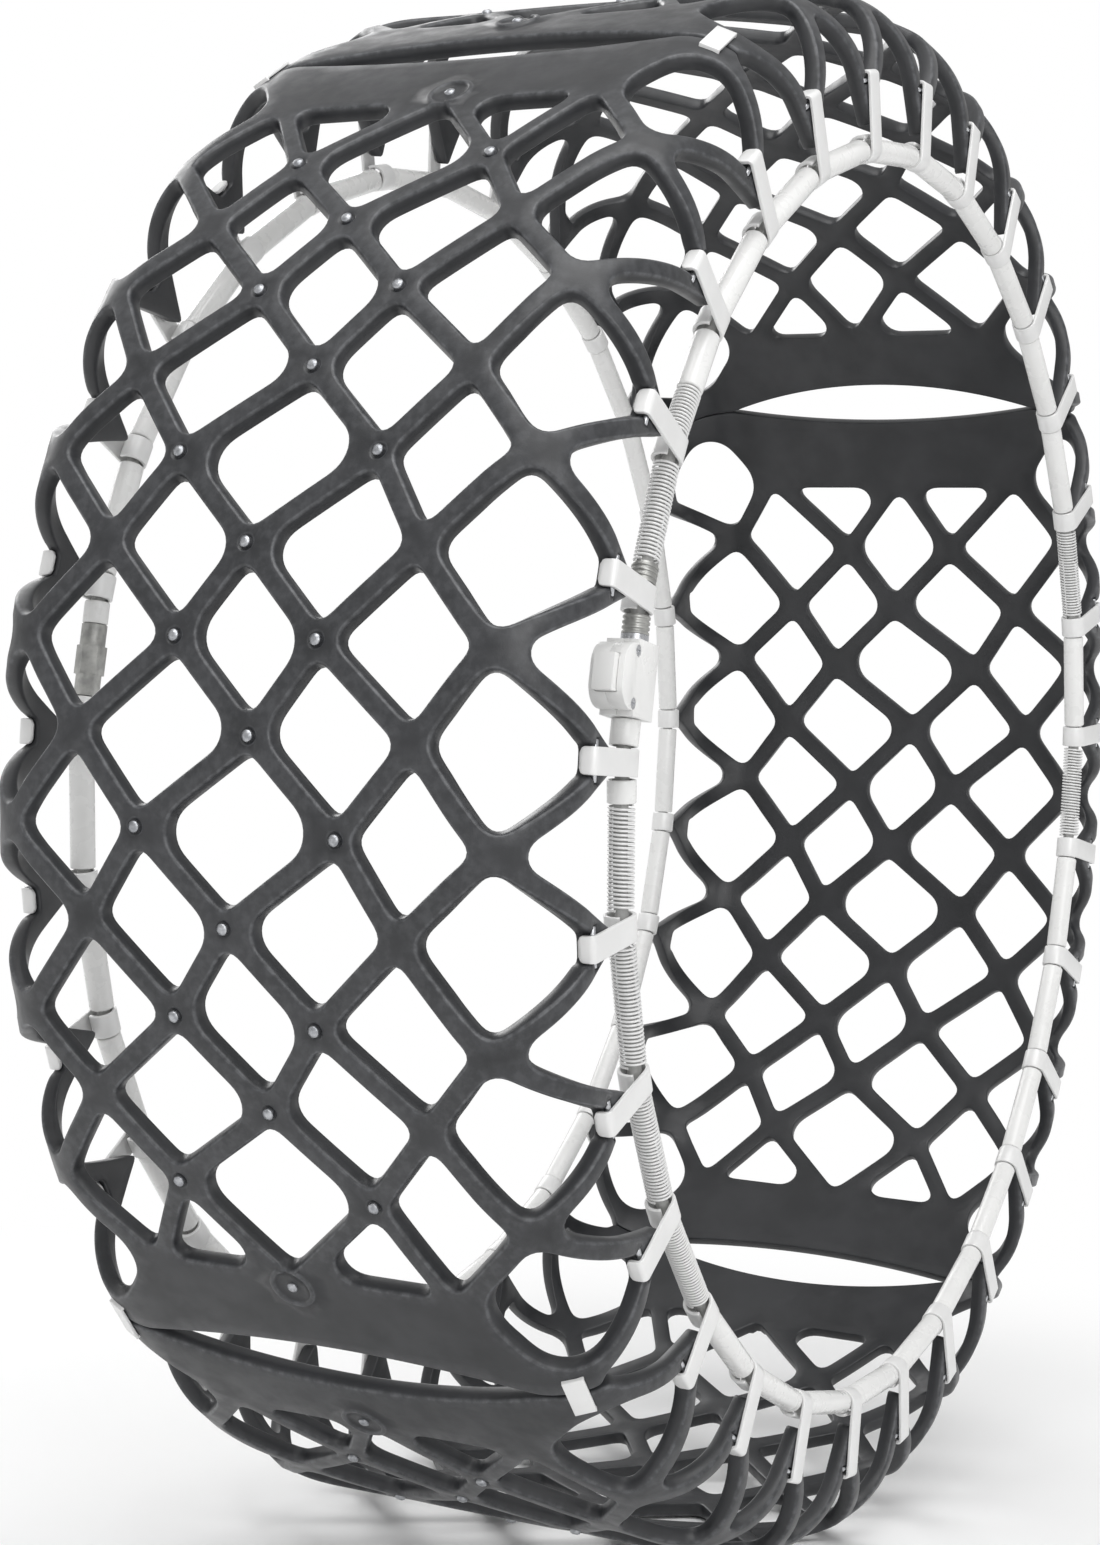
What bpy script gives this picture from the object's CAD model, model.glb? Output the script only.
# %% [markdown]
# # A net tyre chain with a sprung side ring
# This chain is a moulded rubber net that lies on a car tyre. White hooks join its tips to a ring beside
# the wheel, and coil springs on the ring keep it tight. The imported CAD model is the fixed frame: it says
# where each piece is and how it moves. The lesson loads it, then makes the visible pieces around it.

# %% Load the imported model
import math

import bmesh
import bpy
import numpy as np
from mathutils import Matrix, Vector
from mathutils.geometry import delaunay_2d_cdt


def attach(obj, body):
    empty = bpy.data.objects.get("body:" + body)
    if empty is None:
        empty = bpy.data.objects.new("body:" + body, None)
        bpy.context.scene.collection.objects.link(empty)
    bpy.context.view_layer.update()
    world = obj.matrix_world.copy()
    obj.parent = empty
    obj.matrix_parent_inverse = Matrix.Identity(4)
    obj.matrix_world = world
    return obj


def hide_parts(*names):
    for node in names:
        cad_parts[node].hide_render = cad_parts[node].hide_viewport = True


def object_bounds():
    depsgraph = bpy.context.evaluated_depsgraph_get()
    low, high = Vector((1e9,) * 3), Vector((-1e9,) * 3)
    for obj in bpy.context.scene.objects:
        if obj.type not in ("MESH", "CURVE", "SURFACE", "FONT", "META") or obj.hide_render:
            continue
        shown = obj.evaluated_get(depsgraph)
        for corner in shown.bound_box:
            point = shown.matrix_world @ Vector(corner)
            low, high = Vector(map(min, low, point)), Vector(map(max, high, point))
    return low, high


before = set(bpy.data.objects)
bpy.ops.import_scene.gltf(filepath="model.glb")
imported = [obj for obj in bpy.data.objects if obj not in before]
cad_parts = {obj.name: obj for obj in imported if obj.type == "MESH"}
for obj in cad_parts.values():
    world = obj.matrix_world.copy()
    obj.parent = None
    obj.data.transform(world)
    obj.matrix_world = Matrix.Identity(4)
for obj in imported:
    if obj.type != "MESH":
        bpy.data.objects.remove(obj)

cad_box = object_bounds()

# %% [markdown]
# ## The camera
# The camera comes first, because it decides which details matter. It stands level with the wheel's
# centre, in front of the tread and a little to the side, and is rolled by a few degrees. Its axes are
# worked out from two angles, which is easier to read than three Euler angles.

# %% Place the camera
def look_matrix(azimuth, roll):
    """The camera's axes as columns: right, up and back, for a level view from an azimuth in degrees."""
    a, r = math.radians(azimuth), math.radians(roll)
    back = Vector((math.sin(a), -math.cos(a), 0))
    side = Vector((0, 0, 1)).cross(back)
    right = side * math.cos(r) + Vector((0, 0, 1)) * math.sin(r)
    up = Vector((0, 0, 1)) * math.cos(r) - side * math.sin(r)
    return Matrix((right, up, back)).transposed()


camera = bpy.data.objects.new("camera", bpy.data.cameras.new("camera"))
bpy.context.collection.objects.link(camera)
camera.data.sensor_width = 36
camera.data.sensor_fit = "HORIZONTAL"
camera.data.lens = 90.57
camera.matrix_world = Matrix.Translation((-1.2152, -0.5765, -0.0051)) @ look_matrix(-62.57, 3.15).to_4x4()
bpy.context.scene.camera = camera
print("camera at", [round(v, 3) for v in camera.location])

# %% [markdown]
# ## The studio
# Black rubber shows its shape by what it reflects, so the light is large and soft: a bright world, one
# wide lamp above and one behind the camera. The floor is plain and pale. Seen by the camera it turns
# white away from the chain, so there is no horizon, but near the chain it keeps the shadow.

# %% Helpers for shader nodes
def add_node(tree, kind, **settings):
    """Adds a node and sets its properties."""
    node = tree.nodes.new(kind)
    for name, value in settings.items():
        setattr(node, name, value)
    return node


def feed(tree, socket, value):
    """Links a socket to an input, or sets the input's own value."""
    if isinstance(value, bpy.types.NodeSocket):
        tree.links.new(value, socket)
    else:
        socket.default_value = value


def calc(tree, operation, *values):
    """A Math node: returns its output."""
    node = add_node(tree, "ShaderNodeMath", operation=operation)
    for socket, value in zip(node.inputs, values):
        feed(tree, socket, value)
    return node.outputs[0]


def vector_calc(tree, operation, *values):
    """A Vector Math node: returns the node, because its output depends on the operation."""
    node = add_node(tree, "ShaderNodeVectorMath", operation=operation)
    for socket, value in zip(node.inputs, values):
        feed(tree, socket, value)
    return node


def remap(tree, value, low, high, to_low=0.0, to_high=1.0):
    """A Map Range node that goes smoothly from one range to another."""
    node = add_node(tree, "ShaderNodeMapRange", interpolation_type="SMOOTHSTEP")
    for socket, number in zip(node.inputs, (value, low, high, to_low, to_high)):
        feed(tree, socket, number)
    return node.outputs[0]


# %% World, lamps and floor
def light_rays(tree):
    """1 for rays that should see a white background: from the camera, by reflection or through glass."""
    path = add_node(tree, "ShaderNodeLightPath")
    seen = calc(tree, "MAXIMUM", path.outputs["Is Camera Ray"], path.outputs["Is Transmission Ray"])
    return calc(tree, "MAXIMUM", seen, path.outputs["Is Glossy Ray"])


def make_world(level):
    world = bpy.data.worlds.new("studio")
    bpy.context.scene.world = world
    world.use_nodes = True
    tree = world.node_tree
    background = tree.nodes["Background"]
    background.inputs["Color"].default_value = (1, 1, 1, 1)
    path = add_node(tree, "ShaderNodeLightPath")
    feed(tree, background.inputs["Strength"],
         remap(tree, path.outputs["Is Camera Ray"], 0.0, 1.0, level, 1.0))


def add_lamp(name, place, aim, size, power):
    lamp = bpy.data.objects.new(name, bpy.data.lights.new(name, "AREA"))
    lamp.data.shape = "RECTANGLE"
    lamp.data.size, lamp.data.size_y = size
    lamp.data.energy = power
    lamp.location = place
    lamp.rotation_euler = (Vector(aim) - Vector(place)).to_track_quat("-Z", "Y").to_euler()
    bpy.context.collection.objects.link(lamp)


def make_floor(height, white_from, white_to):
    mesh = bpy.data.meshes.new("floor")
    half = 12.0
    corners = [(-half, -half, height), (half, -half, height), (half, half, height), (-half, half, height)]
    mesh.from_pydata(corners, [], [(0, 1, 2, 3)])
    floor = bpy.data.objects.new("floor", mesh)
    bpy.context.collection.objects.link(floor)
    material = bpy.data.materials.new("floor_paper")
    material.use_nodes = True
    tree = material.node_tree
    paper = tree.nodes["Principled BSDF"]
    paper.inputs["Base Color"].default_value = (0.93, 0.93, 0.93, 1)
    paper.inputs["Roughness"].default_value = 0.9
    white = add_node(tree, "ShaderNodeEmission")
    place = add_node(tree, "ShaderNodeTexCoord").outputs["Object"]
    flat = vector_calc(tree, "MULTIPLY", place, (1, 1, 0))
    away = vector_calc(tree, "LENGTH", flat.outputs[0])
    fade = remap(tree, away.outputs["Value"], white_from, white_to)
    mix = add_node(tree, "ShaderNodeMixShader")
    feed(tree, mix.inputs[0], calc(tree, "MULTIPLY", fade, light_rays(tree)))
    feed(tree, mix.inputs[1], paper.outputs[0])
    feed(tree, mix.inputs[2], white.outputs[0])
    feed(tree, tree.nodes["Material Output"].inputs["Surface"], mix.outputs[0])
    mesh.materials.append(material)


make_world(0.62)
add_lamp("top_softbox", (-0.7, -0.3, 1.5), (0, 0, 0.1), (1.6, 1.2), 17)
add_lamp("front_softbox", (-1.6, -1.5, 0.7), (-0.1, 0, 0), (1.2, 1.2), 12)
add_lamp("back_softbox", (0.9, 1.5, 1.0), (0, 0, 0), (1.4, 1.0), 14)
make_floor(cad_box[0][2], 0.42, 0.8)
bpy.context.scene.view_settings.view_transform = "Standard"
print("floor at", round(cad_box[0][2], 4))

# %% [markdown]
# ## Materials
# Every finish is a Principled shader with procedural variation: noise stirs the colour and the
# roughness, and a fine bump gives the surface its grain. Rubber also reads an attribute named `edge`,
# which the net's mesh carries: moulded edges are rubbed a little lighter than the flat faces.

# %% Material helpers
def coordinates(tree, scale=(1, 1, 1)):
    """Object coordinates, stretched where a pattern should run one way."""
    place = add_node(tree, "ShaderNodeTexCoord").outputs["Object"]
    if scale == (1, 1, 1):
        return place
    mapping = add_node(tree, "ShaderNodeMapping")
    feed(tree, mapping.inputs["Vector"], place)
    mapping.inputs["Scale"].default_value = scale
    return mapping.outputs[0]


def noise(tree, place, scale, detail=3.0, roughness=0.55):
    node = add_node(tree, "ShaderNodeTexNoise")
    feed(tree, node.inputs["Vector"], place)
    node.inputs["Scale"].default_value = scale
    node.inputs["Detail"].default_value = detail
    node.inputs["Roughness"].default_value = roughness
    return node.outputs[0]


def blend_colours(tree, amount, first, second):
    node = add_node(tree, "ShaderNodeMix", data_type="RGBA")
    feed(tree, node.inputs[0], amount)
    feed(tree, node.inputs[6], first)
    feed(tree, node.inputs[7], second)
    return node.outputs[2]


def finish(name, first, second, mottle, rough, grain, metallic=0.0, coat=0.0, specular=0.5):
    """A material of two mottled colours. rough is a range, grain is a bump's scale and height in metres."""
    material = bpy.data.materials.new(name)
    material.use_nodes = True
    tree = material.node_tree
    shader = tree.nodes["Principled BSDF"]
    place = coordinates(tree)
    patches = noise(tree, place, mottle)
    amount = remap(tree, patches, 0.3, 0.7)
    feed(tree, shader.inputs["Base Color"], blend_colours(tree, amount, (*first, 1), (*second, 1)))
    smear = noise(tree, place, mottle * 2.7, 4.0)
    feed(tree, shader.inputs["Roughness"], remap(tree, smear, 0.25, 0.75, *rough))
    bump = add_node(tree, "ShaderNodeBump")
    feed(tree, bump.inputs["Height"], noise(tree, place, grain[0], 2.0))
    bump.inputs["Distance"].default_value = grain[1]
    bump.inputs["Strength"].default_value = 0.6
    feed(tree, shader.inputs["Normal"], bump.outputs[0])
    shader.inputs["Metallic"].default_value = metallic
    shader.inputs["Coat Weight"].default_value = coat
    shader.inputs["Coat Roughness"].default_value = 0.12
    shader.inputs["Specular IOR Level"].default_value = specular
    return material


# %% The finishes
def rubber_finish():
    """Moulded rubber: near black, satin, with lighter rubbed edges and a dusty mould bloom."""
    material = finish("moulded_rubber", (0.016, 0.017, 0.019), (0.027, 0.028, 0.031), 34,
                      (0.32, 0.46), (1500, 0.00006))
    tree = material.node_tree
    shader = tree.nodes["Principled BSDF"]
    plain = shader.inputs["Base Color"].links[0].from_socket
    edge = add_node(tree, "ShaderNodeAttribute", attribute_name="edge").outputs["Fac"]
    scuff = noise(tree, coordinates(tree), 260, 4.0)
    worn = calc(tree, "MULTIPLY", edge, remap(tree, scuff, 0.35, 0.7, 0.25, 1.0))
    feed(tree, shader.inputs["Base Color"], blend_colours(tree, worn, plain, (0.10, 0.103, 0.11, 1)))
    return material


rubber = rubber_finish()
white_sleeve = finish("white_sleeve", (0.77, 0.77, 0.76), (0.80, 0.80, 0.79), 40, (0.24, 0.32),
                      (900, 0.00002), coat=0.3)
white_metal = finish("white_coated_metal", (0.75, 0.75, 0.745), (0.79, 0.79, 0.785), 60, (0.28, 0.38),
                     (1400, 0.00003), metallic=0.1)
lock_plastic = finish("lock_housing", (0.76, 0.76, 0.75), (0.82, 0.82, 0.81), 30, (0.25, 0.38),
                      (1800, 0.00003))
bright_steel = finish("bright_steel", (0.50, 0.51, 0.53), (0.66, 0.67, 0.69), 300, (0.2, 0.42),
                      (2600, 0.00003), metallic=1.0)
stud_steel = finish("stud_steel", (0.30, 0.31, 0.33), (0.52, 0.53, 0.55), 420, (0.28, 0.5),
                    (3000, 0.00005), metallic=1.0)
collar_metal = finish("collar_metal", (0.34, 0.34, 0.33), (0.48, 0.48, 0.46), 200, (0.35, 0.55),
                      (2000, 0.00005), metallic=0.85)
cord_cover = finish("cord_cover", (0.42, 0.42, 0.41), (0.52, 0.52, 0.51), 500, (0.5, 0.7),
                    (3500, 0.00012))
print("materials:", len(bpy.data.materials))

# %% [markdown]
# ## Geometry Nodes helpers
# What repeats, or follows a surface, is made by node trees that the script builds. A tree is evaluated
# once on a small input object, and its result becomes a plain mesh, so that nothing live is left. The
# inputs of a tree are set by each socket's identifier.

# %% Build and run a node tree
def geometry_node(tree, kind, inputs=(), **settings):
    """A geometry node with its inputs, given as pairs of a label or number and a value."""
    node = add_node(tree, "GeometryNode" + kind, **settings)
    for label, value in dict(inputs).items():
        feed(tree, node.inputs[label], value)
    return node


def maths(tree):
    """Math nodes in one tree, without naming it every time."""
    return lambda operation, *values: calc(tree, operation, *values)


socket_kinds = {"Material": "NodeSocketMaterial", "Item": "NodeSocketObject"}


def new_tree(name, inputs):
    """A geometry tree with named inputs: a list of (label, value). Numbers are the plain case."""
    tree = bpy.data.node_groups.new(name, "GeometryNodeTree")
    face = tree.interface
    face.new_socket("Geometry", in_out="INPUT", socket_type="NodeSocketGeometry")
    for label, value in inputs:
        kind = socket_kinds.get(label, "NodeSocketFloat")
        socket = face.new_socket(label, in_out="INPUT", socket_type=kind)
        if value is not None:
            socket.default_value = value
    face.new_socket("Geometry", in_out="OUTPUT", socket_type="NodeSocketGeometry")
    return tree, tree.nodes.new("NodeGroupInput"), tree.nodes.new("NodeGroupOutput")


def end_tree(tree, group_in, group_out, geometry):
    """Every tree ends in Realize Instances and Set Material."""
    real = geometry_node(tree, "RealizeInstances", {0: geometry})
    painted = geometry_node(tree, "SetMaterial", {"Geometry": real.outputs[0],
                                                  "Material": group_in.outputs["Material"]})
    feed(tree, group_out.inputs[0], painted.outputs[0])


def run_tree(name, mesh, tree, **values):
    """Runs a tree on a mesh and returns the result as a new plain object."""
    source = bpy.data.objects.new(name + "_source", mesh)
    bpy.context.collection.objects.link(source)
    modifier = source.modifiers.new("tree", "NODES")
    modifier.node_group = tree
    for item in tree.interface.items_tree:
        label = item.name.replace(" ", "_").lower()
        if item.in_out == "INPUT" and label in values:
            modifier[item.identifier] = values[label]
    source.update_tag()
    graph = bpy.context.evaluated_depsgraph_get()
    result = bpy.data.meshes.new_from_object(source.evaluated_get(graph))
    bpy.data.objects.remove(source)
    piece = bpy.data.objects.new(name, result)
    bpy.context.collection.objects.link(piece)
    return piece


def plain_mesh(name, points, edges=(), faces=()):
    mesh = bpy.data.meshes.new(name)
    mesh.from_pydata([tuple(p) for p in points], list(edges), list(faces))
    return mesh


def settle(piece, body, slot, *nodes):
    """Smooth faces, then the frame's calls: what the piece rides on and which CAD nodes it stands for."""
    piece.data.shade_smooth()
    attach(piece, body)
    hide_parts(*nodes)
    print(piece.name, "faces:", len(piece.data.polygons))


# %% [markdown]
# ## The flat net
# The real net is moulded flat and pulled round the tyre, so it is drawn flat here too. Its nodes lie on
# nine rows, counted from the centre line: the struts join neighbouring rows, and every second row is
# shifted by half a pitch. All lengths below are in millimetres.

# %% Sizes of the net
MM = 0.001
tyre_r, tread_half_w, shoulder_r, net_t = 352.0, 90.0, 32.0, 7.0
panel_pitches = [8, 7, 7, 7]
first_joint = -3.5
pitches = sum(panel_pitches)
flat_r = tyre_r + net_t / 2
mid_r = shoulder_r + net_t / 2
shoulder_c = tyre_r - shoulder_r
arc_l = mid_r * math.pi / 2
pitch_l = 2 * math.pi * flat_r / pitches
strut_w, arm_w, tongue_w = 11.0, 10.0, 11.0
row_1, row_2, row_3 = 38.0, 72.0, 104.0
zigzag_centre, zigzag_side = 5.5, 6.5
tip_r, tip_end_r = 303.0, 296.0
claw_r, strap_t, claw_gap, hook_w, pin_d = 321.0, 1.6, 0.65, 10.5, 2.4
tongue_end_r = claw_r - strap_t - claw_gap
pin_r = tongue_end_r - pin_d
panel_gap, lens_half_l, lens_flat, lens_arch, band_in = 0.6, 92.0, 8.0, 17.0, 6.0
mesh_share, end_shift, draft = 0.94, 0.07, 0.6


def down_side(radius):
    """Distance along the net from the centre line to a radius on the flat sidewall."""
    return tread_half_w + arc_l + shoulder_c - radius


def on_shoulder(radius):
    """The same for a radius on the rounded shoulder."""
    return tread_half_w + mid_r * math.acos((radius - shoulder_c) / mid_r)


def odd(k):
    return -1 if math.floor(k) % 2 == 0 else 1


def lie(row, k):
    """Where a node lies, in hook pitches. The mesh is closer than the hooks, so the end bands are wide."""
    if abs(row) == 4:
        return k
    if k < first_joint:
        return lie(row, k + pitches) - pitches
    if k > first_joint + pitches:
        return lie(row, k - pitches) + pitches
    start = first_joint
    for count in panel_pitches:
        if k <= start + count:
            break
        start += count
    half = count / 2
    middle = start + half
    t = k - middle
    if abs(t) > half - 0.25:
        return k
    if abs(t) > half - 0.75:
        return k - math.copysign(end_shift, t)
    return middle + t * ((1 + mesh_share) / 2 if abs(row) == 3 else mesh_share)


def node(row, k):
    """A node of the flat net: along the tyre, and across it. Row 4 holds the tips."""
    side = (row > 0) - (row < 0)
    across = {0: zigzag_centre * odd(k), 1: side * (row_1 + zigzag_side * odd(k)),
              2: side * (row_2 - 3 * odd(k)), 3: side * (row_3 + 2 * odd(k)),
              4: side * down_side(tip_r)}[abs(row)]
    return np.array((lie(row, k) * pitch_l, across))


print("pitch", round(pitch_l, 2), "mm, tips at", round(down_side(tip_r), 1), "mm from the centre")

# %% [markdown]
# ## Openings with round corners
# An opening is the outline between its nodes, moved in by half a strut on every side. Each corner then
# gets its own radius: the corners that point across the tyre are blunt, because the studs need room.

# %% Round an outline
def rounded(points, insets, radii, step=2.5):
    """Moves each side of a convex outline inwards, then rounds its corners."""
    points = [np.array(p, float) for p in points]
    count = len(points)
    middle = sum(points) / count
    lines = []
    for i, inset in enumerate(insets):
        a, b = points[i], points[(i + 1) % count]
        along = (b - a) / np.linalg.norm(b - a)
        inward = np.array((-along[1], along[0]))
        if inward @ (middle - a) < 0:
            inward = -inward
        lines.append((a + inward * inset, along))
    corners = []
    for i in range(count):
        (p, u), (q, v) = lines[i - 1], lines[i]
        t = np.linalg.solve(np.array((u, -v)).T, q - p)[0]
        corners.append(p + u * t)
    outline = []
    for i, radius in enumerate(radii):
        before, corner, after = corners[i - 1], corners[i], corners[(i + 1) % count]
        a, b = before - corner, after - corner
        room = min(np.linalg.norm(a), np.linalg.norm(b)) * 0.47
        a, b = a / np.linalg.norm(a), b / np.linalg.norm(b)
        half = math.acos(max(-1.0, min(1.0, float(a @ b)))) / 2
        length = min(radius / math.tan(half), room)
        radius = length * math.tan(half)
        steps = max(2, int(radius * (math.pi - 2 * half) / 1.6))
        centre = corner + (a + b) / np.linalg.norm(a + b) * radius / math.sin(half)
        start, end = corner + a * length - centre, corner + b * length - centre
        turn = math.atan2(start[0] * end[1] - start[1] * end[0], start @ end)
        for j in range(steps + 1):
            c, s = math.cos(turn * j / steps), math.sin(turn * j / steps)
            outline.append(centre + np.array((c * start[0] - s * start[1], s * start[0] + c * start[1])))
    return outline


# %% The openings of one panel
def panel_holes(k0, k1):
    """All openings, notches and gaps of a panel between the joints k0 and k1."""
    half, arm, past_tips = strut_w / 2 - draft, arm_w / 2 - draft, -30
    holes = []
    for k in np.arange(k0 + 1, k1):
        p = [node(0, k - 0.5), node(1, k), node(0, k + 0.5), node(-1, k)]
        holes.append(rounded(p, [half] * 4, [4, 12, 4, 12]))
    for side in (-1, 1):
        for k in np.arange(k0 + 1.5, k1 - 1):
            p = [node(side, k - 0.5), node(2 * side, k), node(side, k + 0.5), node(0, k)]
            holes.append(rounded(p, [half] * 4, [3.5, 4.5, 3.5, 10]))
        for k in np.arange(k0 + 1, k1):
            p = [node(2 * side, k - 0.5), node(3 * side, k), node(2 * side, k + 0.5), node(side, k)]
            holes.append(rounded(p, [half] * 4, [3.2, 3.5, 3.2, 4.5]))
        for k, end in ((k0 + 0.5, -1), (k1 - 0.5, 1)):
            a, b, c = node(side, k - end * 0.5), node(2 * side, k), node(0, k)
            edge = lie(0, k) * pitch_l - end * (band_in - half)
            share = (edge - a[0]) / (b[0] - a[0])
            p = [a, a + (b - a) * share, a + (c - a) * share]
            holes.append(rounded(p, [half - 1, half, half - 1], [3.5, 4, 8]))
        for k in np.arange(k0 + 0.5, k1):
            lower, upper = k < k0 + 1, k > k1 - 1
            p = [node(2 * side, k), node(3 * side, k - 0.5), node(4 * side, k), node(3 * side, k + 0.5)]
            insets = [half + 3 * lower, arm, arm, half + 3 * upper]
            radii = [7 + 12 * (lower or upper), 6 + 16 * lower, 3, 6 + 16 * upper]
            holes.append(rounded(p, insets, radii))
        for k in np.arange(k0, k1 + 0.5):
            p = [node(3 * side, k), node(4 * side, k - 0.5), node(4 * side, k + 0.5)]
            holes.append(rounded(p, [arm, past_tips, arm], [7, 1, 1]))
    return holes


def lens(k, depth, end):
    """The lens-shaped gap at a joint, cut into the end of the panel that lies on its other side."""
    r = (lens_half_l ** 2 + depth ** 2) / (2 * depth)
    across = np.linspace(-lens_half_l, lens_half_l, 61)
    bulge = np.sqrt(r * r - across ** 2) - (r - depth)
    arc = [np.array((k * pitch_l - end * b, s)) for b, s in zip(bulge, across)]
    past_end = k * pitch_l + end * 9
    return arc + [np.array((past_end, lens_half_l)), np.array((past_end, -lens_half_l))]


def tongue(k, side):
    """The tab that a hook's claw holds, wider towards its root."""
    def point(radius, half, across):
        return np.array((k * pitch_l + half * flat_r / radius, side * across))

    tip, root = on_shoulder(tongue_end_r), down_side(tip_r + 5)
    half = tongue_w / 2
    p = [point(tongue_end_r, -half, tip), point(tongue_end_r, half, tip),
         point(tip_r, half + 2, root), point(tip_r, -half - 2, root)]
    return rounded(p, [0] * 4, [2.2, 2.2, 0.5, 0.5])


def claw_slot(k, side):
    """Room in the net for a claw beyond the end of its tongue."""
    half, low, high = hook_w / 2 + claw_gap, on_shoulder(claw_r + claw_gap), on_shoulder(tongue_end_r)
    p = [np.array((k * pitch_l + h * flat_r / claw_r, side * s))
         for h, s in ((-half, low), (half, low), (half, high), (-half, high))]
    return rounded(p, [0] * 4, [0.8] * 4)


print("openings in the long panel:", len(panel_holes(-3.5, 4.5)))

# %% [markdown]
# ## From outlines to a moulded slab
# A constrained Delaunay triangulation does two jobs. First it works as a flat boolean: every triangle
# knows which outlines hold it, so the net is what lies in the blank and in no opening. Then it fills the
# top and the bottom with small triangles that can bend. Between them, rings of points follow each
# outline down the wall, with a rounded upper edge as a mould leaves it.

# %% Flat boolean and outlines
def signed_area(loop):
    x, y = loop[:, 0], loop[:, 1]
    return 0.5 * float(np.sum(x * np.roll(y, -1) - y * np.roll(x, -1)))


def triangulate(points, outlines):
    """Triangles of a plane set, with the outlines that hold each one. Each outline is taken anticlockwise."""
    outlines = [o if signed_area(np.array([points[i] for i in o])) > 0 else o[::-1] for o in outlines]
    verts, _, faces, _, _, held = delaunay_2d_cdt([Vector(p) for p in points], [], outlines, 0, 1e-5)
    return np.array([tuple(v) for v in verts]), faces, held


def cut_blank(blank, holes, tabs, slots):
    """Outlines of the blank less its holes, plus its tabs, less its slots: the material is on the left."""
    points, outlines = [], []
    for outline in [blank] + holes + tabs + slots:
        outlines.append(list(range(len(points), len(points) + len(outline))))
        points.extend(outline)
    verts, faces, held = triangulate(points, outlines)
    first_tab, first_slot = 1 + len(holes), 1 + len(holes) + len(tabs)
    edges = {}
    for face, inside in zip(faces, held):
        inside = set(inside)
        solid = 0 in inside and not any(0 < i < first_tab for i in inside)
        tab = any(first_tab <= i < first_slot for i in inside)
        if not (solid or tab) or any(i >= first_slot for i in inside):
            continue
        for a, b in zip(face, list(face[1:]) + [face[0]]):
            if (b, a) in edges:
                del edges[(b, a)]
            else:
                edges[(a, b)] = True
    follow = {}
    for a, b in edges:
        follow.setdefault(a, []).append(b)
    loops = []
    while follow:
        start = next(iter(follow))
        loop, here = [], start
        while True:
            loop.append(here)
            onward = follow[here]
            after = onward.pop()
            if not onward:
                del follow[here]
            here = after
            if here == start:
                break
        loops.append(verts[loop])
    return loops


def even_steps(loop, step):
    """Points at equal distances along a closed outline, with its corners softened."""
    closed = np.vstack([loop, loop[:1]])
    lengths = np.linalg.norm(np.diff(closed, axis=0), axis=1)
    along = np.concatenate([[0], np.cumsum(lengths)])
    count = max(12, int(round(along[-1] / step)))
    at = np.linspace(0, along[-1], count, endpoint=False)
    loop = np.stack([np.interp(at, along, closed[:, i]) for i in (0, 1)], 1)
    for _ in range(2):
        loop = loop * 0.5 + (np.roll(loop, 1, 0) + np.roll(loop, -1, 0)) * 0.25
    return loop


def pulled_in(loop, distance):
    """The outline moved into the material by a distance, or by less where it turns a tight outer corner."""
    after, before = np.roll(loop, -1, 0) - loop, loop - np.roll(loop, 1, 0)
    turn = before[:, 0] * after[:, 1] - before[:, 1] * after[:, 0]
    lengths = np.linalg.norm(after, axis=1) * np.linalg.norm(before, axis=1)
    room = 0.7 * lengths ** 1.5 / np.maximum(turn, 1e-6)
    for _ in range(2):
        room = np.minimum(room, np.minimum(np.roll(room, 1), np.roll(room, -1)) + 0.3)
    along = (after + before) / np.linalg.norm(after + before, axis=1)[:, None]
    return loop + np.stack([-along[:, 1], along[:, 0]], 1) * np.minimum(distance, room)[:, None]


# %% Fill and wall
def inner_points(loops, spacing, margin, extra):
    """A grid of points in the material, away from every outline, and the rings round the studs."""
    everything = np.vstack(loops + extra)
    low, high = everything.min(0), everything.max(0)
    grid = np.stack(np.meshgrid(np.arange(low[0], high[0], spacing), np.arange(low[1], high[1], spacing)), -1)
    grid = grid.reshape(-1, 2)
    keep = np.ones(len(grid), bool)
    for start in range(0, len(grid), 500):
        near = grid[start:start + 500, None] - everything[None]
        keep[start:start + 500] = (near ** 2).sum(2).min(1) > margin ** 2
    return grid[keep]


def fill(loops, extra, spacing):
    """Triangles between the outlines, as points and faces. The outlines' points come first."""
    loose = inner_points(loops, spacing, spacing * 0.55, extra)
    fixed = np.vstack(loops)
    points = np.vstack([fixed] + extra + [loose])
    outlines, start = [], 0
    for loop in loops:
        outlines.append(list(range(start, start + len(loop))))
        start += len(loop)
    outer = {i for i, loop in enumerate(loops) if signed_area(loop) > 0}
    verts, faces, held = triangulate(points, outlines)
    kept = [f for f, inside in zip(faces, held)
            if any(i in outer for i in inside) and not any(i not in outer for i in inside)]
    return verts, kept


# %% [markdown]
# The rings of the wall are listed from the bottom to the top: how far each is pulled in, how high it
# is, and how much it counts as a rubbed edge.

# %% The moulded slab
wall_rings = [(0.9, -3.5, 0.0), (0.25, -3.3, 0.2), (0.0, -2.9, 0.1), (0.25, 0.0, 0.0), (0.55, 2.0, 0.2),
              (0.9, 2.75, 0.8), (1.4, 3.3, 1.0), (2.0, 3.5, 0.35)]
stud_rings = [(2.3, -0.9, 0.0), (2.9, -0.9, 0.0), (3.5, -0.25, 0.5), (4.2, 0.0, 0.2)]
boss_rings = [(2.0, 0.35, 0.3), (3.0, 0.0, 0.0), (7.6, 0.0, 0.0), (8.0, 1.0, 1.0), (8.5, 1.2, 0.6),
              (9.4, 1.2, 0.6), (9.9, 0.95, 1.0), (10.2, 0.0, 0.0)]


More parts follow.
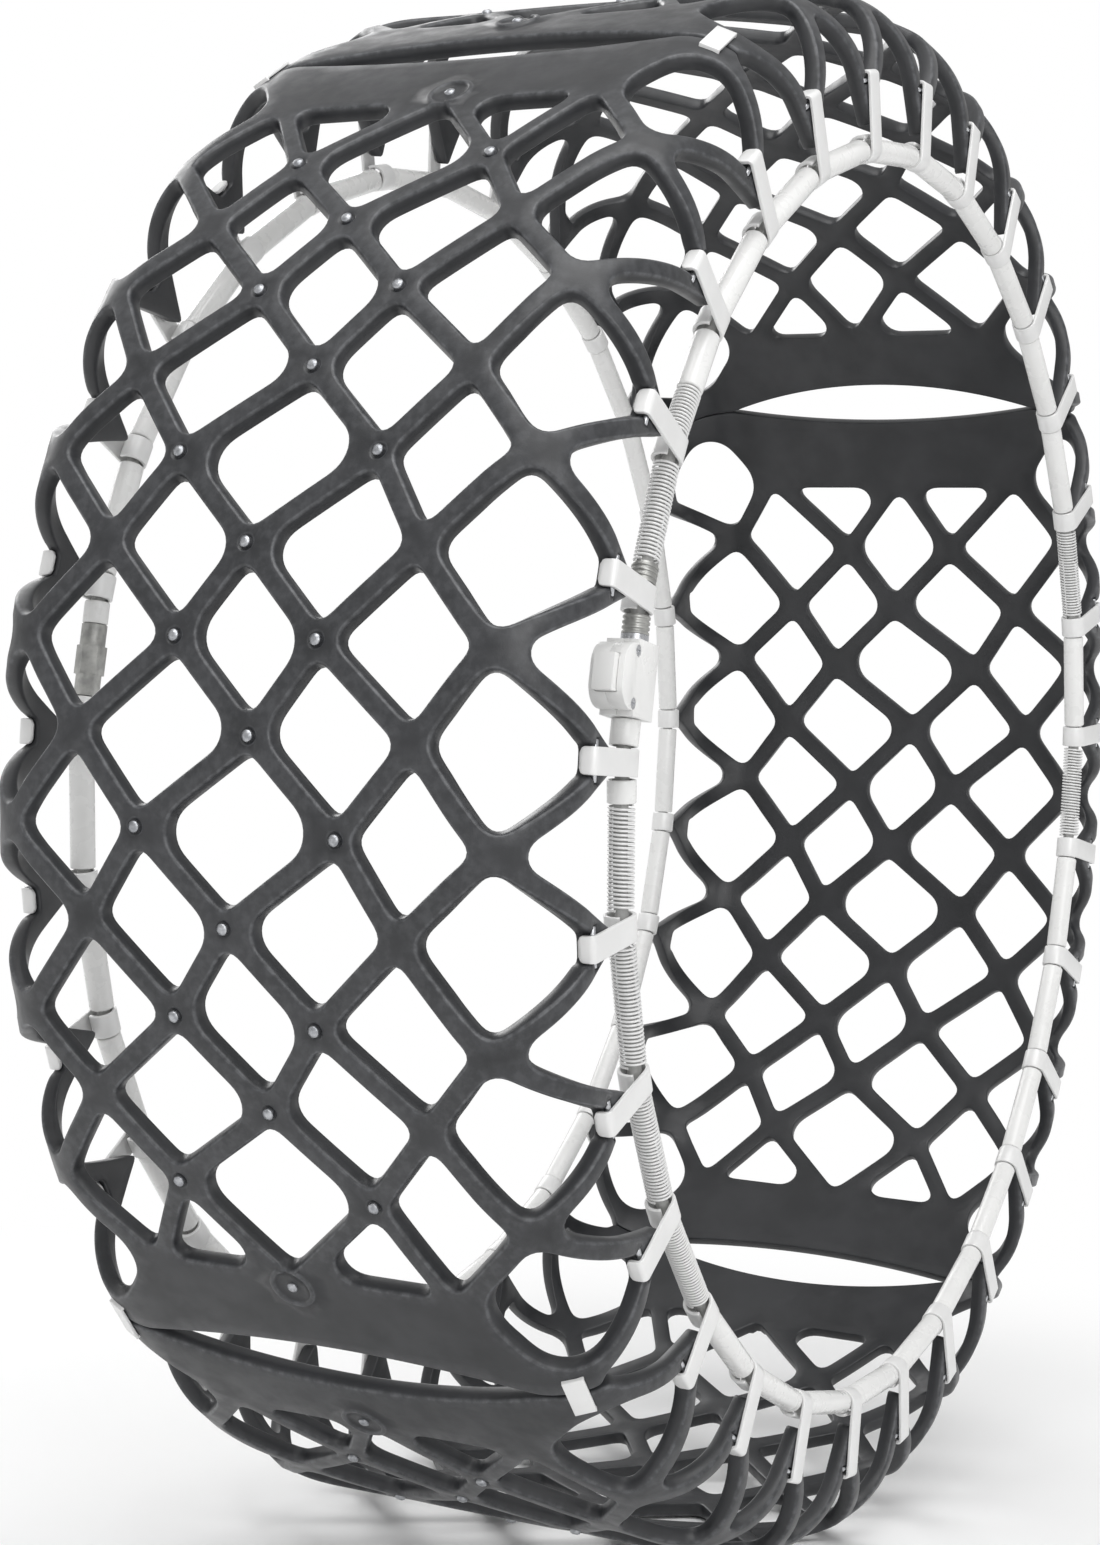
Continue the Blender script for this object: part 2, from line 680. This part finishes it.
groove_l, groove_w, groove_rim, groove_depth = 8.3, 1.3, 0.4, 2.2


def groove_frame(grow):
    """The half length and half width of a pin's groove, grown by its rim."""
    return (groove_l + grow) * flat_r / pin_r, groove_w + grow


def groove_points(place):
    points = []
    for grow in (0, groove_rim):
        a, b = groove_frame(grow)
        points += [(x, y) for x in np.linspace(-a, a, 13) for y in (-b, b)]
        points += [(x, 0) for x in np.linspace(-a, a, 13)] if grow == 0 else [(-a, 0), (a, 0)]
    return place + np.array(points)


def stud_places(k0, k1):
    centre = [node(0, k) for k in np.arange(k0 + 0.5, k1)]
    return centre + [node(side, k) for k in np.arange(k0 + 1, k1) for side in (-1, 1)]


def ring_points(centre, radius, count=20):
    turn = np.linspace(0, 2 * math.pi, count, endpoint=False)
    return centre + radius * np.stack([np.cos(turn), np.sin(turn)], 1)


def relief(points, places, rings):
    """Height and edge value near round features, from their rings."""
    away = np.sqrt(((points[:, None] - np.array(places)[None]) ** 2).sum(2)).min(1)
    radii = [r[0] for r in rings]
    height = np.interp(away, radii, [r[1] for r in rings])
    edge = np.interp(away, radii, [r[2] for r in rings])
    near = away < radii[-1]
    return np.where(near, height, 0), np.where(near, edge, 0)


def groove_dip(points, places):
    """How deep the grooves of the cross pins are at each point, and their rims' edge value."""
    away = np.abs(points[:, None] - np.array(places)[None])
    a, b = groove_frame(0)
    out = np.maximum((away[..., 0] - a), away[..., 1] - b).min(1)
    on_rim = np.abs(out - groove_rim) < 0.1
    return -groove_depth * np.clip(1 - out / groove_rim, 0, 1), np.where(on_rim, 0.6, 0)


def flat_panel(name, k0, k1, depth):
    """One net panel as a flat slab, in metres, with the attribute edge."""
    end_s = down_side(tip_end_r)
    u0, u1 = k0 * pitch_l + panel_gap / 2, k1 * pitch_l - panel_gap / 2
    blank = [np.array(p) for p in ((u0, -end_s), (u1, -end_s), (u1, end_s), (u0, end_s))]
    holes = panel_holes(k0, k1) + [lens(k0, depth, -1), lens(k1, depth, 1)]
    tips = [(k, side) for k in np.arange(k0 + 0.5, k1) for side in (-1, 1)]
    tabs = [tongue(k, side) for k, side in tips]
    slots = [claw_slot(k, side) for k, side in tips]
    loops = [even_steps(loop, 2.0) for loop in cut_blank(blank, holes, tabs, slots)]
    studs = stud_places(k0, k1)
    bosses = [node(0, k0 + 0.5), node(0, k1 - 0.5)]
    boss_free = [p for p in studs if min(np.linalg.norm(p - b) for b in bosses) > 1]
    circles = [ring_points(p, r[0]) for p in boss_free for r in stud_rings]
    circles += [ring_points(p, r[0], 36) for p in bosses for r in boss_rings]
    pins = [np.array((k * pitch_l, side * down_side(pin_r))) for k, side in tips]
    circles += [groove_points(p) for p in pins]

    points, faces, edge, rings = [], [], [], []
    for inset, height, rubbed in wall_rings:
        ring = np.vstack([pulled_in(loop, inset) for loop in loops])
        rings.append(sum(len(r) for r in points))
        points.append(np.column_stack([ring, np.full(len(ring), height)]))
        edge.append(np.full(len(ring), rubbed))
    start = 0
    for loop in loops:
        n = len(loop)
        here = np.arange(n) + start
        after = np.roll(here, -1)
        for low, high in zip(rings, rings[1:]):
            faces += [(low + a, low + b, high + b, high + a) for a, b in zip(here, after)]
        start += n

    for inset, level, side in ((wall_rings[0][0], -net_t / 2, -1), (wall_rings[-1][0], net_t / 2, 1)):
        base = sum(len(r) for r in points)
        verts, kept = fill([pulled_in(loop, inset) for loop in loops], circles if side > 0 else [], 6.0)
        lift, rubbed = np.zeros(len(verts)), np.zeros(len(verts))
        if side > 0:
            for places, shape in ((boss_free, stud_rings), (bosses, boss_rings)):
                raised, worn = relief(verts, places, shape)
                lift, rubbed = lift + raised, np.maximum(rubbed, worn)
            dip, worn = groove_dip(verts, pins)
            lift, rubbed = lift + dip, np.maximum(rubbed, worn)
            rubbed[:start] = wall_rings[-1][2]
            for ring, (_, height, _) in zip(points, wall_rings):
                ring[:, 2] += lift[:start] * max(0.0, height) / level
        points.append(np.column_stack([verts, level + lift]))
        edge.append(rubbed)
        faces += [tuple(base + i for i in (f if side > 0 else f[::-1])) for f in kept]

    mesh = plain_mesh(name, np.vstack(points) * MM, faces=faces)
    mesh.attributes.new("edge", "FLOAT", "POINT").data.foreach_set("value", np.concatenate(edge))
    work = bmesh.new()
    work.from_mesh(mesh)
    bmesh.ops.remove_doubles(work, verts=work.verts, dist=1e-6)
    loose = [v for v in work.verts if not v.link_faces]
    bmesh.ops.delete(work, geom=loose, context="VERTS")
    open_edges = sum(1 for e in work.edges if len(e.link_faces) != 2)
    work.to_mesh(mesh)
    work.free()
    print(name, "outlines:", len(loops), "open edges:", open_edges)
    return mesh


# %% [markdown]
# ## Rolling the net on to the tyre
# The tread is a cylinder, the shoulder is a quarter circle and the sidewall is flat. One set of formulas
# covers all three, because the angle on the shoulder is clamped between zero and a right angle. A
# Geometry Nodes tree holds them, so the net and its studs are bent by the same rule.

# %% The rolling group
def rolling_group():
    """A node group that takes flat places (along, across, height) and gives places on the tyre."""
    inputs = [("Flat Radius", flat_r * MM), ("Tread Half Width", tread_half_w * MM),
              ("Shoulder Centre", shoulder_c * MM), ("Shoulder Middle", mid_r * MM)]
    tree, group_in, group_out = new_tree("roll_on_tyre", inputs)
    do = maths(tree)
    size = {item[0]: group_in.outputs[item[0]] for item in inputs}
    split = add_node(tree, "ShaderNodeSeparateXYZ")
    feed(tree, split.inputs[0], add_node(tree, "GeometryNodeInputPosition").outputs[0])
    along, across, height = split.outputs
    width, side = do("ABSOLUTE", across), do("SIGN", across)
    past = do("SUBTRACT", width, size["Tread Half Width"])
    turned_by = do("DIVIDE", past, size["Shoulder Middle"])
    bend = do("MINIMUM", do("MAXIMUM", turned_by, 0.0), math.pi / 2)
    arc = do("MULTIPLY", size["Shoulder Middle"], math.pi / 2)
    below = do("MAXIMUM", do("SUBTRACT", past, arc), 0.0)
    reach = do("ADD", size["Shoulder Middle"], height)
    radius = do("ADD", size["Shoulder Centre"], do("MULTIPLY", reach, do("COSINE", bend)))
    radius = do("SUBTRACT", radius, below)
    out = do("ADD", do("MINIMUM", width, size["Tread Half Width"]),
               do("MULTIPLY", reach, do("SINE", bend)))
    angle = do("DIVIDE", along, size["Flat Radius"])
    join = add_node(tree, "ShaderNodeCombineXYZ")
    feed(tree, join.inputs[0], do("MULTIPLY", radius, do("MULTIPLY", do("COSINE", angle), -1.0)))
    feed(tree, join.inputs[1], do("MULTIPLY", out, side))
    feed(tree, join.inputs[2], do("MULTIPLY", radius, do("SINE", angle)))
    move = geometry_node(tree, "SetPosition", {"Geometry": group_in.outputs["Geometry"],
                                               "Position": join.outputs[0]})
    feed(tree, group_out.inputs[0], move.outputs[0])
    return tree


roll = rolling_group()


def rolled(tree, geometry):
    return geometry_node(tree, "Group", {"Geometry": geometry}, node_tree=roll).outputs[0]


# %% Roll the four panels
def panel_tree():
    tree, group_in, group_out = new_tree("net_panel", [("Material", None)])
    end_tree(tree, group_in, group_out, rolled(tree, group_in.outputs["Geometry"]))
    return tree


net_tree = panel_tree()
joint = first_joint
for letter, count, depth in zip("abcd", panel_pitches, (lens_flat, lens_arch, lens_flat, lens_arch)):
    flat = flat_panel("flat_net_" + letter, joint, joint + count, depth)
    panel = run_tree("rubber_net_" + letter, flat, net_tree, material=rubber)
    settle(panel, "chain", "rubber", "net_panel_" + letter)
    joint += count

# %% [markdown]
# ## Studs
# A steel pin stands in each stud hole, with a domed head in a shallow dish in the rubber. One small pin
# is instanced on the flat places and rolled with the same group as the net.

# %% Instance the studs
def swept_faces(rows, count):
    """The faces of a closed sweep: quads between its rings of points, and a cap at either end."""
    faces = [(i * count + j, i * count + (j + 1) % count,
              (i + 1) * count + (j + 1) % count, (i + 1) * count + j)
             for i in range(rows - 1) for j in range(count)]
    return faces + [tuple(range(count))[::-1], tuple((rows - 1) * count + j for j in range(count))]


def lathe(name, outline, count=16):
    """A closed turned shape round Z from (radius, height) pairs in millimetres, from bottom to top."""
    turn = np.linspace(0, 2 * math.pi, count, endpoint=False)
    points = [(r * math.cos(t) * MM, r * math.sin(t) * MM, z * MM) for r, z in outline for t in turn]
    return plain_mesh(name, points, faces=swept_faces(len(outline), count))


def scatter_tree(name, bend):
    """Instances an object on points: turned by the attribute turn, or rolled on to the tyre."""
    tree, group_in, group_out = new_tree(name, [("Item", None), ("Material", None)])
    item = geometry_node(tree, "ObjectInfo", {"Object": group_in.outputs["Item"]})
    spread = geometry_node(tree, "InstanceOnPoints", {"Points": group_in.outputs["Geometry"],
                                                      "Instance": item.outputs["Geometry"]})
    geometry = spread.outputs[0]
    if bend:
        real = geometry_node(tree, "RealizeInstances", {0: geometry})
        geometry = rolled(tree, real.outputs[0])
    else:
        turn = geometry_node(tree, "InputNamedAttribute", {"Name": "turn"}, data_type="FLOAT_VECTOR")
        feed(tree, spread.inputs["Rotation"], turn.outputs[0])
    end_tree(tree, group_in, group_out, geometry)
    return tree


def scatter(name, item_mesh, points, tree, material, turns=None):
    item = bpy.data.objects.new(name + "_item", item_mesh)
    bpy.context.collection.objects.link(item)
    mesh = plain_mesh(name + "_points", points)
    if turns is not None:
        spots = mesh.attributes.new("turn", "FLOAT_VECTOR", "POINT")
        spots.data.foreach_set("vector", np.array(turns, float).ravel())
    piece = run_tree(name, mesh, tree, item=item, material=material)
    bpy.data.objects.remove(item)
    return piece


stud_outline = [(2.35, -3.4), (2.35, 4.1), (2.15, 4.5), (1.5, 4.75), (1.3, 4.95), (0.7, 5.0)]
stud_points = []
joint = first_joint
for count in panel_pitches:
    stud_points += [(*(place * MM), 0.0) for place in stud_places(joint, joint + count)]
    joint += count
studs = scatter("ice_studs_domed", lathe("stud", stud_outline, 14), stud_points,
                scatter_tree("studs_on_net", True), stud_steel)
settle(studs, "chain", "stud_steel", "ice_studs")

# %% [markdown]
# ## The side rings
# Each ring is a cord with a sleeve or a coil spring on every stretch between two hooks, so it looks like
# a polygon with 29 sides. Sleeves and springs are swept by Geometry Nodes along the same straight paths.

# %% Sizes of the rings
ring_r, sleeve_d = 287.0, 10.6
claw_bend_r, claw_depth = 2.4, 7.0
eye_r, eye_gap, strap_gap = 6.3, 0.35, 0.35
outer_y = tread_half_w + shoulder_r + net_t
ring_y = outer_y + strap_gap + strap_t - eye_r
pitch = 2 * math.pi / pitches
chord_r = ring_r * math.cos(pitch / 2)
half_chord = ring_r * math.sin(pitch / 2)
full = half_chord - (hook_w / 2 + eye_gap + sleeve_d / 2 * math.sin(pitch / 2))
collar_l, socket_l, short_spring, coupler_l = 8.0, 9.0, 22.0, 30.0
end_gap, spring_gap = 0.3, 0.5
spring_segments = [1, 12, 14, 25, 26, 27, 28]


def turned(k, point):
    """A point given at pitch 0, turned to pitch k."""
    x, y, z = point
    c, s = math.cos(k * pitch), math.sin(k * pitch)
    return np.array((x * c + z * s, y, -x * s + z * c))


def ring_point(k, side, z):
    """A point on segment k, at a distance z along it from its middle."""
    return turned(k + 0.5, (-chord_r, side * ring_y, z)) * MM


def stretches(side):
    """The sleeves and the springs of a ring as lists of (segment, start, end)."""
    sleeves, springs = [], []
    for k in range(pitches):
        low, high = -full, full
        if side > 0:
            if k == 0:
                sleeves += [(k, low, -coupler_l / 2 - end_gap), (k, coupler_l / 2 + end_gap, high)]
            else:
                sleeves.append((k, low, high))
        elif k == 2:
            springs.append((k, low, low + short_spring))
            sleeves.append((k, low + short_spring + spring_gap, high))
        elif k in spring_segments:
            low += (collar_l + end_gap) * (k == 1)
            high -= (socket_l + end_gap) * (k == pitches - 1)
            springs.append((k, low, high))
        elif k > 0:
            sleeves.append((k, low, high))
    return sleeves, springs


outer_sleeves, outer_springs = stretches(-1)
inner_sleeves, _ = stretches(1)
print("outer ring:", len(outer_sleeves), "sleeves and", len(outer_springs), "springs")

# %% Sleeves swept along the ring
def path_mesh(name, runs, side, offsets):
    """One poly-line per run: offsets are distances from the two ends, then its middle stays straight."""
    points, edges = [], []
    for k, low, high in runs:
        at = [low + o for o in offsets] + [high - o for o in reversed(offsets)]
        first = len(points)
        points += [ring_point(k, side, z) for z in at]
        edges += [(first + i, first + i + 1) for i in range(len(at) - 1)]
    return plain_mesh(name, points, edges)


def sleeve_tree():
    """A round tube along each path, with its ends rounded over the first millimetre."""
    inputs = [("Radius", 0.0053), ("End", 0.0008),
              ("Material", None)]
    tree, group_in, group_out = new_tree("sleeves", inputs)
    do = maths(tree)
    curve = geometry_node(tree, "MeshToCurve", {0: group_in.outputs["Geometry"]})
    along = add_node(tree, "GeometryNodeSplineParameter").outputs["Length"]
    total = add_node(tree, "GeometryNodeSplineLength").outputs["Length"]
    to_end = do("MINIMUM", along, do("SUBTRACT", total, along))
    share = do("SUBTRACT", 1.0, do("MINIMUM", do("DIVIDE", to_end, group_in.outputs["End"]), 1.0))
    drop = do("SUBTRACT", 1.0, do("SQRT", do("SUBTRACT", 1.0, do("POWER", share, 2.0))))
    radius = do("SUBTRACT", group_in.outputs["Radius"], do("MULTIPLY", drop, group_in.outputs["End"]))
    ring = geometry_node(tree, "CurvePrimitiveCircle", {"Resolution": 24, "Radius": 1.0})
    sweep = geometry_node(tree, "CurveToMesh", {"Curve": curve.outputs[0], "Profile Curve": ring.outputs[0],
                                                "Fill Caps": True, "Scale": radius})
    end_tree(tree, group_in, group_out, sweep.outputs[0])
    return tree


round_end = [0.0, 0.06, 0.2, 0.45, 0.8]
tube_tree = sleeve_tree()
for name, runs, side, cad in (("ring_sleeves_outer", outer_sleeves, -1, "outer_ring_sleeves"),
                              ("ring_sleeves_inner", inner_sleeves, 1, "inner_ring_sleeves")):
    sleeves = run_tree(name, path_mesh(name + "_paths", runs, side, round_end), tube_tree,
                       radius=sleeve_d / 2 * MM, material=white_sleeve)
    settle(sleeves, "chain", "sleeve_plastic", cad)

# %% [markdown]
# ## Coil springs
# The coil is the path itself, wound: each point of a finely divided path is pushed sideways by the
# wire's winding radius, at an angle that grows with the distance along the path. A small circle is then
# swept along the wound path.

# %% Wind the springs
def coil_tree():
    inputs = [("Coil Radius", 0.0047), ("Wire Radius", 0.0006),
              ("Coil Pitch", 0.0016), ("Steps", 18.0),
              ("Material", None)]
    tree, group_in, group_out = new_tree("coil_springs", inputs)
    do = maths(tree)
    curve = geometry_node(tree, "MeshToCurve", {0: group_in.outputs["Geometry"]})
    step = do("DIVIDE", group_in.outputs["Coil Pitch"], group_in.outputs["Steps"])
    fine = geometry_node(tree, "ResampleCurve", {"Curve": curve.outputs[0], "Length": step}, mode="LENGTH")
    along = add_node(tree, "GeometryNodeSplineParameter").outputs["Length"]
    turns = do("DIVIDE", along, group_in.outputs["Coil Pitch"])
    angle = do("MULTIPLY", turns, 2 * math.pi)
    tangent = add_node(tree, "GeometryNodeInputTangent").outputs[0]
    wheel_axis = (0, 1, 0)
    across = vector_calc(tree, "CROSS_PRODUCT", tangent, wheel_axis)
    first = vector_calc(tree, "NORMALIZE", across.outputs[0])
    offsets = []
    for direction, wave in ((first.outputs[0], "COSINE"), (wheel_axis, "SINE")):
        push = vector_calc(tree, "SCALE", direction)
        reach = do("MULTIPLY", do(wave, angle), group_in.outputs["Coil Radius"])
        feed(tree, push.inputs["Scale"], reach)
        offsets.append(push.outputs[0])
    both = vector_calc(tree, "ADD", *offsets)
    wound = geometry_node(tree, "SetPosition", {"Geometry": fine.outputs[0], "Offset": both.outputs[0]})
    ring = geometry_node(tree, "CurvePrimitiveCircle", {"Resolution": 6,
                                                        "Radius": group_in.outputs["Wire Radius"]})
    sweep = geometry_node(tree, "CurveToMesh", {"Curve": wound.outputs[0], "Profile Curve": ring.outputs[0],
                                                "Fill Caps": True})
    end_tree(tree, group_in, group_out, sweep.outputs[0])
    return tree


wire_r = 0.52
wire_runs = [(k, a + wire_r, b - wire_r) for k, a, b in outer_springs]
springs = run_tree("ring_springs", path_mesh("spring_paths", wire_runs, -1, [0.0]), coil_tree(),
                   wire_radius=wire_r * MM, coil_radius=(sleeve_d / 2 - wire_r) * MM, material=white_metal)
settle(springs, "chain", "spring_steel", "outer_ring_springs")

# %% [markdown]
# ## Hooks
# A hook is one strip of coated metal: it curls round the cord, runs out along the net's tip and bends
# down into a claw that holds the tongue. A rounded strip section is swept along that path. Each outer
# hook swings on its own, so it is a piece of its own that rides on its own body.

# %% Sweep one hook
def strip_section(width, thickness, corner, steps=3):
    """A rounded rectangle: across the strip, and through its thickness."""
    outline = []
    for cx, cy, start in ((1, 1, 0), (-1, 1, 90), (-1, -1, 180), (1, -1, 270)):
        for j in range(steps + 1):
            t = math.radians(start + 90 * j / steps)
            outline.append((cx * (width / 2 - corner) + corner * math.cos(t),
                            cy * (thickness / 2 - corner) + corner * math.sin(t)))
    return np.array(outline)


def hook_path():
    """The middle line of the strip in the plane of the hook, as points and the sideways direction."""
    curl = np.radians(np.linspace(205, -90, 30))
    r = eye_r - strap_t / 2
    path = [(-ring_r + r * math.cos(t), -ring_y + r * math.sin(t)) for t in curl]
    strap_line = -(outer_y + strap_gap + strap_t / 2)
    path += [(x, strap_line) for x in np.linspace(-ring_r - 4, -claw_r + claw_bend_r + 2, 9)]
    bend = np.radians(np.linspace(-90, -180, 7))
    b = claw_bend_r - strap_t / 2
    face = strap_line - strap_t / 2
    path += [(-claw_r + claw_bend_r + b * math.cos(t), face + claw_bend_r + b * math.sin(t)) for t in bend]
    tip = face + claw_depth
    path += [(-claw_r + strap_t / 2, y) for y in np.linspace(face + claw_bend_r + 0.8, tip, 6)]
    return np.array(path)


def hook_mesh(name, mirror=1):
    path = hook_path()
    along = np.gradient(path, axis=0)
    along /= np.linalg.norm(along, axis=1)[:, None]
    across = np.stack([-along[:, 1], along[:, 0]], 1)
    length = np.concatenate([[0], np.cumsum(np.linalg.norm(np.diff(path, axis=0), axis=1))])
    to_end = length[-1] - length
    corner_r = 2.2
    short = np.clip(1 - to_end / corner_r, 0, 1)
    narrow = corner_r * (1 - np.sqrt(1 - short ** 2))
    section = strip_section(hook_w, strap_t, 0.45)
    points = []
    for (x, y), (nx, ny), cut in zip(path, across, narrow):
        for z, t in section:
            z = math.copysign(max(abs(z) - cut, 0.2), z)
            points.append(np.array((x + nx * t, (y + ny * t) * mirror, z)) * MM)
    mesh = plain_mesh(name, points, faces=swept_faces(len(path), len(section)))
    work = bmesh.new()
    work.from_mesh(mesh)
    bmesh.ops.recalc_face_normals(work, faces=work.faces)
    work.to_mesh(mesh)
    work.free()
    return mesh


# %% Place the hooks
def placing_tree():
    """Turns its input about the wheel's axis by an angle."""
    tree, group_in, group_out = new_tree("place_on_ring", [("Angle", 0.0), ("Material", None)])
    join = add_node(tree, "ShaderNodeCombineXYZ")
    feed(tree, join.inputs[1], group_in.outputs["Angle"])
    turn = geometry_node(tree, "Transform", {"Geometry": group_in.outputs["Geometry"],
                                             "Rotation": join.outputs[0]})
    end_tree(tree, group_in, group_out, turn.outputs[0])
    return tree


ring_tree = placing_tree()
outer_hook = hook_mesh("hook_strip")
for k in range(pitches):
    body = f"hook_{k:02d}"
    hook = run_tree(body + "_strip", outer_hook.copy(), ring_tree, angle=k * pitch, material=white_metal)
    settle(hook, body, "hook_metal", body)

spots_tree = scatter_tree("around_the_ring", False)
turns = [(0, k * pitch, 0) for k in range(pitches)]
centre = [(0, 0, 0)] * pitches
hooks = scatter("inner_hook_strips", hook_mesh("inner_strip", -1), centre, spots_tree, white_metal, turns)
settle(hooks, "chain", "hook_metal", "inner_hooks")

# %% [markdown]
# ## Cross pins
# A thin steel pin crosses each tongue, and the claw pulls on it. It stands out a little at both sides.

# %% Instance the pins
pin_l = 16.0
pin_y = outer_y - pin_d / 2
rim = 0.35
pin_outline = [(pin_d / 2 - rim, -pin_l / 2), (pin_d / 2, -pin_l / 2 + rim),
               (pin_d / 2, pin_l / 2 - rim), (pin_d / 2 - rim, pin_l / 2)]
for name, side in (("outer", -1), ("inner", 1)):
    places = [turned(k, (-pin_r, side * pin_y, 0)) * MM for k in range(pitches)]
    pins = scatter(name + "_tongue_pins", lathe("pin", pin_outline, 12), places, spots_tree,
                   bright_steel, turns)
    settle(pins, "chain", "pin_steel", name + "_cross_pins")

# %% [markdown]
# ## Pieces that keep their CAD shape
# The lock, the clips, the collars and the couplings have the right shape already, but their edges are
# knife-sharp, and no moulded or pressed piece is. Each is copied, its loose triangles are merged into
# plain faces, and a small bevel rounds its edges. Pieces that stay hidden only get their material.

# %% Copies with rounded edges
def softened(node_name, width, segments=2):
    """A copy of a CAD node with its edges rounded."""
    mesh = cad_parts[node_name].data.copy()
    mesh.materials.clear()
    work = bmesh.new()
    work.from_mesh(mesh)
    bmesh.ops.remove_doubles(work, verts=work.verts, dist=2e-6)
    bmesh.ops.dissolve_limit(work, angle_limit=math.radians(1.0), verts=work.verts, edges=work.edges)
    sharp = [e for e in work.edges if len(e.link_faces) == 2 and e.calc_face_angle(0) > math.radians(35)]
    bmesh.ops.bevel(work, geom=sharp, offset=width * MM, segments=segments, affect="EDGES", profile=0.5,
                    clamp_overlap=True)
    work.to_mesh(mesh)
    work.free()
    piece = bpy.data.objects.new(node_name + "_soft", mesh)
    bpy.context.collection.objects.link(piece)
    return piece


soft_nodes = [("lock_cover", 1.2, lock_plastic, "chain", "lock_plastic"),
              ("lock_back_shell", 1.0, lock_plastic, "chain", "lock_plastic"),
              ("release_button", 0.5, lock_plastic, "latch", "lock_plastic"),
              ("socket_sleeves", 0.5, white_sleeve, "chain", "sleeve_plastic"),
              ("crimp_collars", 0.15, collar_metal, "chain", "collar_metal"),
              ("panel_clips_outer", 0.35, white_metal, "chain", "clip_metal"),
              ("panel_clips_inner", 0.35, white_metal, "chain", "clip_metal"),
              ("inner_coupler", 0.5, collar_metal, "chain", "pin_steel")]
for node_name, width, material, body, slot in soft_nodes:
    piece = softened(node_name, width)
    piece.data.materials.append(material)
    settle(piece, body, slot, node_name)

# %% CAD nodes that only need a finish
def paint(node_name, material):
    """Gives a CAD node's material slots a procedural material."""
    node_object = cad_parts[node_name]
    if not node_object.material_slots:
        node_object.data.materials.append(material)
    for slot in node_object.material_slots:
        slot.material = material


for node_name in ("outer_ring_cord", "inner_ring_cable"):
    paint(node_name, cord_cover)
for node_name in ("lock_screws", "lock_plug", "latch_plate", "latch_spring"):
    paint(node_name, bright_steel)

# %% [markdown]
# ## Check the size and finish
# The visual model must stay inside the CAD model's box, so both boxes are kept.

# %% Boxes and finish
print("CAD box", [[round(v, 4) for v in corner] for corner in cad_box])
